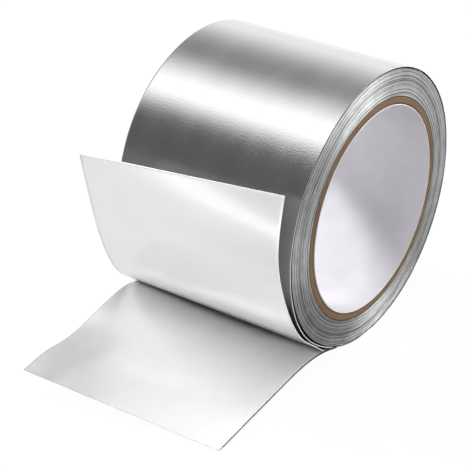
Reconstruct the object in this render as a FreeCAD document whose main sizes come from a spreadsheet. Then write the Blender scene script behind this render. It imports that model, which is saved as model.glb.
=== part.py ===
"""A roll of aluminium foil tape on a board core, with its end peeled off its release liner.

The roll lies on its curved side. The origin is the middle of the core's bore, +Y runs along the
roll's axis and +Z is up. The foil leaves the bottom of the roll towards -X as a tail, and the
release liner, peeled off the tail, stands up beside the roll. Sizes are in millimetres.
"""
import FreeCAD
import Part
import Sketcher
import math
import os

# Driving dimensions. An angle is in degrees about the roll's axis, counted from straight down
# towards -X. A run is a distance towards -X from the tail's root, where the tape leaves the roll.
# A lift is a height above the surface that the roll lies on, and a standoff is a distance from
# the outside of the roll. "near" is the edge at -Y and "far" is the edge at +Y.
DIMENSIONS = [
    ("tape_width", 75.0, "width of the tape and length of the core"),
    ("roll_radius", 52.4, "outside of the wound turns"),
    ("bore_radius", 38.5, "inside of the paper lining"),
    ("lining_wall", 0.4, "thickness of the paper lining"),
    ("board_wall", 3.0, "thickness of the board core"),
    ("tape_thickness", 0.12, "foil with its adhesive"),
    ("liner_thickness", 0.1, "coated release paper"),
    ("flat_half_width", 5.0, "half the width of the flat that the roll rests on"),
    ("slack_angle", 75.0, "middle of the stretch where the outer turn is slack"),
    ("slack_half_angle", 48.0, "half of that stretch"),
    ("slack_gap", 0.9, "widest gap under the slack turn"),
    ("root_angle", 23.0, "where the tail leaves the roll"),
    ("root_depth", 0.5, "depth of the tail's root in the wound turns"),
    ("near_crest_run", 16.5, "tail, near edge, top of the hump"),
    ("near_crest_rise", 2.9, "the same, above the root"),
    ("near_middle_run", 37.0, "tail, near edge, middle"),
    ("near_middle_lift", 5.2, "the same"),
    ("near_brink_run", 56.0, "tail, near edge, before the end"),
    ("near_brink_lift", 2.3, "the same"),
    ("near_end_run", 70.3, "tail, near edge, end"),
    ("near_end_lift", 0.0, "the same"),
    ("far_crest_run", 25.5, "tail, far edge, top of the hump"),
    ("far_crest_rise", 11.7, "the same, above the root"),
    ("far_middle_run", 49.0, "tail, far edge, middle"),
    ("far_middle_lift", 12.0, "the same"),
    ("far_brink_run", 70.5, "tail, far edge, before the end"),
    ("far_brink_lift", 11.1, "the same"),
    ("far_end_run", 83.8, "tail, far edge, end"),
    ("far_end_lift", 7.9, "the same"),
    ("near_nip_run", 7.5, "where the liner parts from the tail, near edge"),
    ("far_nip_run", 22.5, "where the liner parts from the tail, far edge"),
    ("nip_clearance", 0.1, "between the tail and the liner's lower edge"),
    ("near_low_angle", 50.0, "liner, near edge, just above the nip"),
    ("near_low_standoff", 1.5, "the same"),
    ("near_waist_angle", 75.0, "liner, near edge, beside the roll"),
    ("near_waist_standoff", 3.4, "the same"),
    ("near_high_angle", 97.0, "liner, near edge, where it lifts away"),
    ("near_high_standoff", 7.9, "the same"),
    ("near_top_angle", 116.6, "liner, near edge, free end"),
    ("near_top_standoff", 11.6, "the same"),
    ("far_low_angle", 60.0, "liner, far edge, just above the nip"),
    ("far_low_standoff", 6.8, "the same"),
    ("far_waist_angle", 76.0, "liner, far edge, beside the roll"),
    ("far_waist_standoff", 9.7, "the same"),
    ("far_high_angle", 94.0, "liner, far edge, where it lifts away"),
    ("far_high_standoff", 14.1, "the same"),
    ("far_top_angle", 110.6, "liner, far edge, free end"),
    ("far_top_standoff", 23.8, "the same"),
]
SECTIONS = 5        # cross-sections that a peeled sheet is lofted through
FACE_POINTS = 9     # points that carry each face of such a cross-section

doc = FreeCAD.newDocument("foil_tape_roll")
sizes = doc.addObject("Spreadsheet::Sheet", "sizes")


def fill_spreadsheet():
    """Write each driving dimension into an aliased cell, with its meaning beside it."""
    for row, (alias, value, meaning) in enumerate(DIMENSIONS, start=1):
        sizes.set("A%d" % row, str(value))
        sizes.setAlias("A%d" % row, alias)
        sizes.set("B%d" % row, meaning)
    doc.recompute()


def size(alias):
    """The value of one driving dimension."""
    return float(sizes.get(alias))


def bind(feature, **expressions):
    """Tie properties of a feature to the spreadsheet; a double underscore stands for a dot."""
    for name, expression in expressions.items():
        feature.setExpression(name.replace("__", "."), expression)


def tube_body(name, inner, outer):
    """A tube as long as the tape is wide: two circles on the XZ plane, padded both ways."""
    body = doc.addObject("PartDesign::Body", name)
    sketch = body.newObject("Sketcher::SketchObject", name + "_section")
    planes = [item for item in body.Origin.OriginFeatures if item.Role == "XZ_Plane"]
    sketch.AttachmentSupport = (planes[0], [""])
    sketch.MapMode = "FlatFace"
    for title, radius in (("inner", inner), ("outer", outer)):
        circle = Part.Circle(FreeCAD.Vector(0, 0, 0), FreeCAD.Vector(0, 0, 1), size("bore_radius"))
        index = sketch.addGeometry(circle, False)
        sketch.addConstraint(Sketcher.Constraint("Coincident", index, 3, -1, 1))
        number = sketch.addConstraint(Sketcher.Constraint("Radius", index, circle.Radius))
        sketch.renameConstraint(number, title)
        sketch.setExpression("Constraints." + title, radius)
    pad = body.newObject("PartDesign::Pad", name + "_length")
    pad.Profile = sketch
    pad.SideType = "Symmetric"
    bind(pad, Length="sizes.tape_width")
    return body


def roll_cylinder(name, radius, shift="0"):
    """A cylinder along the roll, its axis shifted towards the middle of the slack stretch."""
    cylinder = doc.addObject("Part::Cylinder", name)
    cylinder.Placement.Rotation = FreeCAD.Rotation(FreeCAD.Vector(1, 0, 0), 90)
    bind(
        cylinder,
        Radius=radius,
        Height="sizes.tape_width",
        Placement__Base__x="-(%s) * sin(sizes.slack_angle * 1 deg)" % shift,
        Placement__Base__y="sizes.tape_width / 2",
        Placement__Base__z="-(%s) * cos(sizes.slack_angle * 1 deg)" % shift,
    )
    return cylinder


def boolean(kind, name, base, tool):
    """A Part::Fuse or Part::Cut of two objects."""
    result = doc.addObject("Part::" + kind, name)
    result.Base = base
    result.Tool = tool
    return result


def wound_turns():
    """The wound turns: a tube whose outer turn stands off as an eccentric, slack arc.

    The slack arc's circle passes through both ends of the slack stretch and stands one gap off
    the roll at its middle, which gives its shift from the roll's axis and its radius.
    """
    gap = "sizes.slack_gap"
    turned = "sizes.roll_radius * (1 - cos(sizes.slack_half_angle * 1 deg))"
    shift = "%s * (%s + 2 * sizes.roll_radius) / (2 * (%s + %s))" % (gap, gap, turned, gap)
    slack_radius = "sizes.roll_radius + %s - %s" % (gap, shift)
    round_roll = roll_cylinder("round_roll", "sizes.roll_radius")
    slack_outside = roll_cylinder("slack_outside", slack_radius, shift)
    slack_inside = roll_cylinder("slack_inside", slack_radius + " - sizes.tape_thickness", shift)
    tight_turns = roll_cylinder("tight_turns", "sizes.roll_radius - sizes.tape_thickness")
    core_hole = roll_cylinder(
        "core_hole", "sizes.bore_radius + sizes.lining_wall + sizes.board_wall")
    under_floor = doc.addObject("Part::Box", "under_floor")
    bind(
        under_floor,
        Length="2 * sizes.roll_radius",
        Width="sizes.tape_width",
        Height="sizes.roll_radius",
        Placement__Base__x="-sizes.roll_radius",
        Placement__Base__y="-sizes.tape_width / 2",
        Placement__Base__z="-sizes.roll_radius - sqrt(sizes.roll_radius ^ 2 - sizes.flat_half_width ^ 2)",
    )
    outline = boolean("Fuse", "outline", round_roll, slack_outside)
    crescent = boolean("Cut", "crescent", slack_inside, tight_turns)
    slack_roll = boolean("Cut", "slack_roll", outline, crescent)
    hollow_roll = boolean("Cut", "hollow_roll", slack_roll, core_hole)
    return boolean("Cut", "wound_turns", hollow_roll, under_floor)


def floor_height():
    """Height of the surface that the roll lies on: the chord across its flat."""
    return -math.sqrt(size("roll_radius") ** 2 - size("flat_half_width") ** 2)


def polar(angle, radius, y):
    """The point at a polar angle and a radius about the roll's axis."""
    turn = math.radians(angle)
    return FreeCAD.Vector(-radius * math.sin(turn), y, -radius * math.cos(turn))


def blend(alias, share):
    """A dimension between its near value and its far value, by the share of the width."""
    near = size("near_" + alias)
    return near + (size("far_" + alias) - near) * share


def tail_line(share, y):
    """The tail's centre line in one cross-section, tangent to the roll at its root."""
    root = polar(size("root_angle"), size("roll_radius") - size("root_depth"), y)
    surface = floor_height() + size("tape_thickness") / 2
    crest = FreeCAD.Vector(root.x - blend("crest_run", share), y, root.z + blend("crest_rise", share))
    points = [root, crest]
    for place in ("middle", "brink", "end"):
        run = blend(place + "_run", share)
        points.append(FreeCAD.Vector(root.x - run, y, surface + blend(place + "_lift", share)))
    turn = math.radians(size("root_angle"))
    start = FreeCAD.Vector(-math.cos(turn), 0, math.sin(turn))
    flags = [True] + [False] * (len(points) - 1)
    line = Part.BSplineCurve()
    line.interpolate(Points=points, Tangents=[start] * len(points), TangentFlags=flags)
    return line


def upward_normal(line, parameter):
    """Unit normal of a centre line in its own cross-section, on the side that faces the roll."""
    tangent = line.tangent(parameter)[0]
    return FreeCAD.Vector(tangent.z, 0, -tangent.x)


def liner_line(share, y):
    """The liner's centre line in one cross-section, from the nip on the tail to its free end."""
    tail = tail_line(share, y)
    root = tail.value(tail.FirstParameter)
    above_nip = FreeCAD.Vector(root.x - blend("nip_run", share), y, root.z + blend("crest_rise", share))
    nip = tail.parameter(above_nip)
    seat = size("tape_thickness") / 2 + size("nip_clearance") + size("liner_thickness") / 2
    points = [tail.value(nip) + upward_normal(tail, nip) * seat]
    for place in ("low", "waist", "high", "top"):
        radius = size("roll_radius") + blend(place + "_standoff", share)
        points.append(polar(blend(place + "_angle", share), radius, y))
    line = Part.BSplineCurve()
    line.interpolate(Points=points)
    return line


def sheet_section(line, thickness):
    """Closed outline of a sheet: both its faces, half a thickness off the line, and its ends."""
    faces = []
    for side in (thickness / 2, -thickness / 2):
        points = []
        for number in range(FACE_POINTS):
            along = number / (FACE_POINTS - 1)
            parameter = line.FirstParameter + (line.LastParameter - line.FirstParameter) * along
            points.append(line.value(parameter) + upward_normal(line, parameter) * side)
        face = Part.BSplineCurve()
        face.interpolate(Points=points)
        faces.append(face)
    upper, lower = faces
    edges = [
        upper.toShape(),
        Part.makeLine(upper.EndPoint, lower.EndPoint),
        lower.toShape(),
        Part.makeLine(lower.StartPoint, upper.StartPoint),
    ]
    return Part.Wire(edges)


def peeled_sheet(name, line_of, thickness):
    """A thin sheet lofted across the width of the tape through its own cross-sections."""
    outlines = []
    for number in range(SECTIONS):
        share = number / (SECTIONS - 1)
        y = (share - 0.5) * size("tape_width")
        outline = doc.addObject("Part::Feature", "%s_section_%d" % (name, number + 1))
        outline.Shape = sheet_section(line_of(share, y), size(thickness))
        outlines.append(outline)
    loft = doc.addObject("Part::Loft", name)
    loft.Sections = outlines
    loft.Solid = True
    return loft


def check_and_export(parts):
    """Stop on any failed feature or bad solid, then write one STEP file for each part."""
    failed = [item.Name for item in doc.Objects if {"Invalid", "Error"} & set(item.State)]
    if failed:
        raise RuntimeError("failed features: " + ", ".join(failed))
    for part in parts:
        shape = part.Shape
        if shape.isNull() or not shape.isValid() or len(shape.Solids) != 1:
            raise RuntimeError("%s is not one valid solid" % part.Label)
    os.makedirs("parts", exist_ok=True)
    for part in parts:
        part.Shape.exportStep("parts/%s.step" % part.Label)
        print("%-14s %10.1f mm3" % (part.Label, part.Shape.Volume))


fill_spreadsheet()
board_inside = "sizes.bore_radius + sizes.lining_wall"
core_lining = tube_body("core_lining", "sizes.bore_radius", board_inside)
core_tube = tube_body("core_tube", board_inside, board_inside + " + sizes.board_wall")
tail_sheet = peeled_sheet("tail_sheet", tail_line, "tape_thickness")
foil_tape = boolean("Fuse", "foil_tape", wound_turns(), tail_sheet)
release_liner = peeled_sheet("release_liner", liner_line, "liner_thickness")
doc.recompute()
check_and_export([core_tube, core_lining, foil_tape, release_liner])
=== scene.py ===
"""Looks of a roll of aluminium foil tape whose end is peeled off its release liner.

The roll lies on its curved side with its axis along +Y. Angles round the roll are counted from
straight down towards -X, in degrees. "Near" is the end at -Y and "far" the end at +Y. Sizes of
the pieces are in millimetres and become metres when a mesh is made.
"""

import logging
import math
from dataclasses import dataclass
from enum import Enum, IntEnum

import bpy
import numpy as np
from mathutils import Matrix, Vector


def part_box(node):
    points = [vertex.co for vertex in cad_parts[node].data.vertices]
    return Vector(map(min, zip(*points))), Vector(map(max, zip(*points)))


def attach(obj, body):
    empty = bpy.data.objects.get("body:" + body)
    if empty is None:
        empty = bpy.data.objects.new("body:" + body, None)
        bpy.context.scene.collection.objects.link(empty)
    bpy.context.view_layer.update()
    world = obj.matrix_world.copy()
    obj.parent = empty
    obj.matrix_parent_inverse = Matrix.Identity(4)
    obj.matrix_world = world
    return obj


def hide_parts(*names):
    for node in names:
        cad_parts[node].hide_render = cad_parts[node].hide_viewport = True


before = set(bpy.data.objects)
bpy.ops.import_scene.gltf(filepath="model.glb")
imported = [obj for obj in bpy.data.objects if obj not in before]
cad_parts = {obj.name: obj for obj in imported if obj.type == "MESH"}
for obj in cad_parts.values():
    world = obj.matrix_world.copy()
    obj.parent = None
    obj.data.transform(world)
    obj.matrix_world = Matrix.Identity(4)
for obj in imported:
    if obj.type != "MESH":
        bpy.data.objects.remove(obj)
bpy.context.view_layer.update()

MM = 0.001          # one millimetre in metres
HAIR = 0.01         # millimetres that keep two faces apart where pieces touch
LINING_WALL = 0.4   # millimetres of paper that line the bore
EVEN_FROM = 0.9     # millimetres from a sheet's edge where its points become even
CLOSE_TO_EDGE = (0.0, 0.12, 0.25, 0.42)    # millimetres from it of the points nearer to it
LOG = logging.getLogger("foil_tape")
Socket = bpy.types.NodeSocket
Colour = tuple[float, float, float]


class Slot(Enum):
    """The record's material slots."""

    FOIL = "foil"
    LINER = "liner_paper"
    BOARD = "core_board"
    LINING = "lining_paper"


class Face(IntEnum):
    """Which finish a quad of a thin sheet wears, as its number in the sheet's list of finishes."""

    FRONT = 0
    BACK = 1
    CUT = 2
    # The fourth finish is near-black: painted shade along the tail's cut edges and beside its far edge.
    PAINTED_SHADE = 3


@dataclass(frozen=True)
class RollSizes:
    """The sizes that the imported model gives, in millimetres.

    Attributes:
        width: length of the roll along its axis.
        outside: radius of the wound turns.
        board_outside: radius of the board core.
        board_inside: radius of the hole in the board, where the lining begins.
        bore: radius of the open bore.
        floor: height of the surface that the roll lies on.
        pitch: thickness of one wound turn, foil and liner together.
        foil: thickness of the foil with its adhesive.
        liner: thickness of the release liner.
        root_angle: where the tail leaves the roll.
        pushed: how far the core and the turns on it stand out of the near end.
    """

    width: float
    outside: float
    board_outside: float
    board_inside: float
    bore: float
    floor: float
    pitch: float = 0.22
    foil: float = 0.12
    liner: float = 0.1
    root_angle: float = 23.0
    pushed: float = 0.4

    @classmethod
    def from_frame(cls) -> "RollSizes":
        """The sizes read from the boxes of the CAD nodes; the bore is a wall inside the lining's.

        Returns:
            The sizes.
        """
        foil_low, foil_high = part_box("foil_tape")
        tube_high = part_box("core_tube")[1]
        lining_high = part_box("core_lining")[1]
        return cls(
            width=2 * tube_high.y / MM,
            outside=foil_high.z / MM,
            board_outside=tube_high.z / MM,
            board_inside=lining_high.z / MM,
            bore=lining_high.z / MM - LINING_WALL,
            floor=foil_low.z / MM,
        )


# ---------------------------------------------------------------- curves and meshes


def polar(angle: np.ndarray, radius: np.ndarray) -> np.ndarray:
    """Points in the XZ plane from polar angles and radii.

    Formula: x = -radius * sin(angle), z = -radius * cos(angle).

    Args:
        angle: degrees from straight down towards -X.
        radius: distance from the roll's axis.

    Returns:
        Array whose last axis holds x and z.
    """
    turn = np.radians(angle)
    return np.stack([-radius * np.sin(turn), -radius * np.cos(turn)], axis=-1)


def above_floor(radius: np.ndarray, angle: np.ndarray, depth: float) -> np.ndarray:
    """Radii cut short where they would reach further down than a depth below the axis.

    Formula: radius <= depth / cos(angle), within 60 degrees of straight down.

    Args:
        radius: distance from the roll's axis at each angle.
        angle: degrees from straight down towards -X.
        depth: depth of the floor below the axis.

    Returns:
        The radii.
    """
    down = np.cos(np.radians(angle))
    limit = depth / np.where(down > 0.5, down, 0.5)
    return np.minimum(radius, np.where(down > 0.5, limit, radius))


def hump(value: np.ndarray, middle: float, half: float, height: float) -> np.ndarray:
    """A smooth rise: height * cos^2 of a quarter turn over half, and nothing beyond it.

    Args:
        value: where it is read.
        middle: place of its top.
        half: distance from its top to its foot.
        height: height of its top.

    Returns:
        The rise at each value.
    """
    share = np.clip(np.abs(value - middle) / half, 0, 1)
    return height * np.cos(share * math.pi / 2) ** 2


def ease(value: np.ndarray, start: float, end: float) -> np.ndarray:
    """0 before start, 1 after end, and 3t^2 - 2t^3 between them.

    Args:
        value: where it is read.
        start: where it leaves 0.
        end: where it reaches 1.

    Returns:
        The share at each value.
    """
    t = np.clip((value - start) / (end - start), 0, 1)
    return t * t * (3 - 2 * t)


def spline_through(
    stations: np.ndarray, shares: np.ndarray, start_slope: np.ndarray | None = None
) -> np.ndarray:
    """A smooth plane curve through stations.

    Cubic pieces between neighbouring stations share slope and curvature. The parameter is the
    length along the straight chords, as a share of the whole. The curve leaves along start_slope,
    or uncurved where there is none, and ends uncurved.

    Args:
        stations: (n, 2) points that it passes.
        shares: parameters from 0 to 1 to read it at.
        start_slope: unit direction in which it leaves the first station.

    Returns:
        (len(shares), 2) points.
    """
    chords = np.linalg.norm(np.diff(stations, axis=0), axis=1)
    knots = np.concatenate([[0], np.cumsum(chords)]) / chords.sum()
    step = np.diff(knots)
    rise = np.diff(stations, axis=0) / step[:, None]
    count = len(stations)
    system = np.eye(count)
    wanted = np.zeros((count, 2))
    inner = np.arange(1, count - 1)
    system[inner, inner - 1] = step[:-1]
    system[inner, inner] = 2 * (step[:-1] + step[1:])
    system[inner, inner + 1] = step[1:]
    wanted[inner] = 6 * np.diff(rise, axis=0)
    if start_slope is not None:
        system[0, :2] = (2 * step[0], step[0])
        wanted[0] = 6 * (rise[0] - start_slope * chords.sum())
    bend = np.linalg.solve(system, wanted)
    piece = np.clip(np.searchsorted(knots, shares, side="right") - 1, 0, count - 2)
    width = step[piece][:, None]
    after = (shares - knots[piece])[:, None]
    before = width - after
    return (
        (bend[piece] * before**3 + bend[piece + 1] * after**3) / (6 * width)
        + (stations[piece] / width - bend[piece] * width / 6) * before
        + (stations[piece + 1] / width - bend[piece + 1] * width / 6) * after
    )


def soft_noise(
    u: np.ndarray, v: np.ndarray, longest: float, shortest: float, seed: int, waves: int = 14
) -> np.ndarray:
    """Seeded smooth unevenness: a sum of plane cosine waves in all directions.

    Each wave has its own direction, phase and wavelength between the two given, and a height
    in proportion to its wavelength. The sum is scaled to about -1 to 1.

    Args:
        u: first coordinate, in millimetres.
        v: second coordinate, in millimetres.
        longest: longest wavelength.
        shortest: shortest wavelength.
        seed: seed of the random draw.
        waves: number of waves.

    Returns:
        The unevenness at each point.
    """
    draw = np.random.default_rng(seed)
    length = shortest * (longest / shortest) ** draw.random(waves)
    turn = draw.random(waves) * 2 * math.pi
    phase = draw.random(waves) * 2 * math.pi
    across = (u[..., None] * np.cos(turn) + v[..., None] * np.sin(turn)) * 2 * math.pi / length
    weight = length / np.sqrt((length**2).sum() / 2)
    return (np.cos(across + phase) * weight).sum(-1) / 2


def grid_quads(rows: int, columns: int, wrap_rows: bool, wrap_columns: bool) -> np.ndarray:
    """Corner numbers of the quads between neighbouring points of a grid.

    Args:
        rows: number of rows.
        columns: number of columns.
        wrap_rows: whether the last row joins the first.
        wrap_columns: whether the last column joins the first.

    Returns:
        (quads, 4) array, row after row.
    """
    row = np.arange(rows if wrap_rows else rows - 1)[:, None]
    column = np.arange(columns if wrap_columns else columns - 1)[None, :]
    next_row = (row + 1) % rows
    next_column = (column + 1) % columns
    corners = [
        row * columns + column,
        row * columns + next_column,
        next_row * columns + next_column,
        next_row * columns + column,
    ]
    return np.stack(np.broadcast_arrays(*corners), axis=-1).reshape(-1, 4)


def across_shares(count: int, width: float) -> np.ndarray:
    """Shares of a sheet's width from 0 to 1: close together at each edge and even between them.

    Args:
        count: number of shares.
        width: width of the sheet, in millimetres.

    Returns:
        (count,) shares.
    """
    close = np.array(CLOSE_TO_EDGE) / width
    even = np.linspace(EVEN_FROM / width, 1 - EVEN_FROM / width, count - 2 * len(CLOSE_TO_EDGE))
    return np.concatenate([close, even, 1 - close[::-1]])


def signed_volume(points: np.ndarray, quads: np.ndarray) -> float:
    """Volume of a closed shell: the sum of a . (b x c) / 6 over its triangles.

    Args:
        points: (n, 3) corners.
        quads: (m, 4) corner numbers.

    Returns:
        The volume, below 0 where the faces point inwards.
    """
    a, b, c, d = (points[quads[:, k]] for k in range(4))
    first = np.einsum("ij,ij->i", a, np.cross(b, c))
    second = np.einsum("ij,ij->i", a, np.cross(c, d))
    return float((first + second).sum() / 6)


@dataclass
class Shell:
    """A closed shell of quads.

    Attributes:
        points: (n, 3) corners in millimetres.
        quads: (m, 4) corner numbers.
        finishes: (m,) number of the finish of each quad.
        flat: (n, 2) place of each corner on the unrolled surface, in millimetres.
    """

    points: np.ndarray
    quads: np.ndarray
    finishes: np.ndarray
    flat: np.ndarray

    def make(
        self,
        name: str,
        slot: Slot,
        materials: list[bpy.types.Material],
        replaces: str,
        crease: float = 35.0,
    ) -> bpy.types.Object:
        """Build the piece in the scene, facing outwards, dressed and riding on the root body.

        Args:
            name: the piece's name.
            slot: the record's slot of the piece; not used.
            materials: its finishes, in the order that finishes numbers them.
            replaces: the CAD node that it stands for.
            crease: angle in degrees above which an edge stays sharp.

        Returns:
            The piece.
        """
        quads = self.quads
        if signed_volume(self.points, quads) < 0:
            quads = quads[:, ::-1]
        mesh = bpy.data.meshes.new(name)
        mesh.vertices.add(len(self.points))
        mesh.vertices.foreach_set("co", (self.points * MM).astype(np.float32).ravel())
        mesh.loops.add(quads.size)
        mesh.loops.foreach_set("vertex_index", quads.astype(np.int32).ravel())
        mesh.polygons.add(len(quads))
        mesh.polygons.foreach_set("loop_start", np.arange(0, quads.size, 4, dtype=np.int32))
        mesh.polygons.foreach_set("material_index", self.finishes.astype(np.int32))
        mesh.polygons.foreach_set("use_smooth", np.ones(len(quads), dtype=bool))
        layer = mesh.uv_layers.new(name="unrolled")
        unrolled = (self.flat[quads.ravel()] * MM).astype(np.float32)
        layer.data.foreach_set("uv", unrolled.ravel())
        for material in materials:
            mesh.materials.append(material)
        mesh.update(calc_edges=True)
        mesh.validate()
        mesh.set_sharp_from_angle(angle=math.radians(crease))
        piece = bpy.data.objects.new(name, mesh)
        bpy.context.scene.collection.objects.link(piece)
        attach(piece, "root")
        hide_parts(replaces)
        low, high = self.points.min(0), self.points.max(0)
        LOG.info("%s: %d quads, from %s to %s mm", name, len(quads), low.round(1), high.round(1))
        return piece


def sheet_shell(middle: np.ndarray, thickness: float, along: np.ndarray, burr: np.ndarray) -> Shell:
    """A thin sheet about a middle surface, its edges closed.

    Its faces lie half a thickness and a burr off the middle surface, along the cross product of
    the direction across the sheet and the direction along it. The front is the face that this
    product points to.

    Args:
        middle: (rows, columns, 3) points, rows along the sheet and columns across it.
        thickness: thickness of the sheet.
        along: (rows,) length along the sheet at each row.
        burr: (2, rows, columns) what the slit edges add to the front and to the back.

    Returns:
        The shell: its quads run along the sheet row by row, front, far edge, back and near edge,
        and then come those of the first cut end and those of the last.
    """
    rows, columns = middle.shape[:2]
    run = np.gradient(middle, axis=0)
    cross = np.gradient(middle, axis=1)
    normal = np.cross(cross, run)
    normal /= np.linalg.norm(normal, axis=-1, keepdims=True)
    outer = middle + normal * (thickness / 2 + burr[0, ..., None])
    inner = (middle - normal * (thickness / 2 + burr[1, ..., None]))[:, ::-1]
    loop = np.concatenate([outer, inner], axis=1)
    width = loop.shape[1]
    quads = grid_quads(rows, width, False, True)
    across = np.arange(width)
    finish = np.where(across < columns - 1, Face.FRONT, np.where(across < columns, Face.CUT, Face.BACK))
    finish[-1] = Face.CUT
    start = np.arange(columns - 1)
    opposite = width - 1 - start
    cap = np.stack([start, opposite, opposite - 1, start + 1], axis=-1)
    last = cap[:, ::-1] + (rows - 1) * width
    spread = np.linalg.norm(np.diff(middle[rows // 2], axis=0), axis=1)
    place = np.concatenate([[0], np.cumsum(spread)])
    place = np.concatenate([place, place[::-1]])
    flat = np.stack(np.broadcast_arrays(along[:, None], place[None, :]), axis=-1)
    return Shell(
        points=loop.reshape(-1, 3),
        quads=np.concatenate([quads, cap, last]),
        finishes=np.concatenate([np.tile(finish, rows - 1), np.full(2 * len(cap), Face.CUT)]),
        flat=flat.reshape(-1, 2),
    )


def turned_shell(
    radius: np.ndarray, height: np.ndarray, angle: np.ndarray, finishes: np.ndarray
) -> Shell:
    """A ring-shaped body: a closed profile carried round the roll's axis.

    Args:
        radius: (rows, columns) distance from the axis at each angle and profile point.
        height: (rows, columns) place along the axis.
        angle: (rows, 1) or (rows, columns) degrees round the axis, not repeating the first.
        finishes: (columns,) finish of the quads that start at each profile point.

    Returns:
        The shell.
    """
    rows, columns = radius.shape
    plane = polar(angle, radius)
    points = np.stack([plane[..., 0], height, plane[..., 1]], axis=-1)
    steps = np.hypot(np.diff(radius, axis=1), np.diff(height, axis=1))
    place = np.concatenate([np.zeros((rows, 1)), np.cumsum(steps, axis=1)], axis=1)
    arc = np.radians(angle) * np.broadcast_to(radius.max(), radius.shape)
    return Shell(
        points=points.reshape(-1, 3),
        quads=grid_quads(rows, columns, True, True),
        finishes=np.tile(finishes, rows),
        flat=np.stack([arc, place], axis=-1).reshape(-1, 2),
    )


# ---------------------------------------------------------------- finishes


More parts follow.
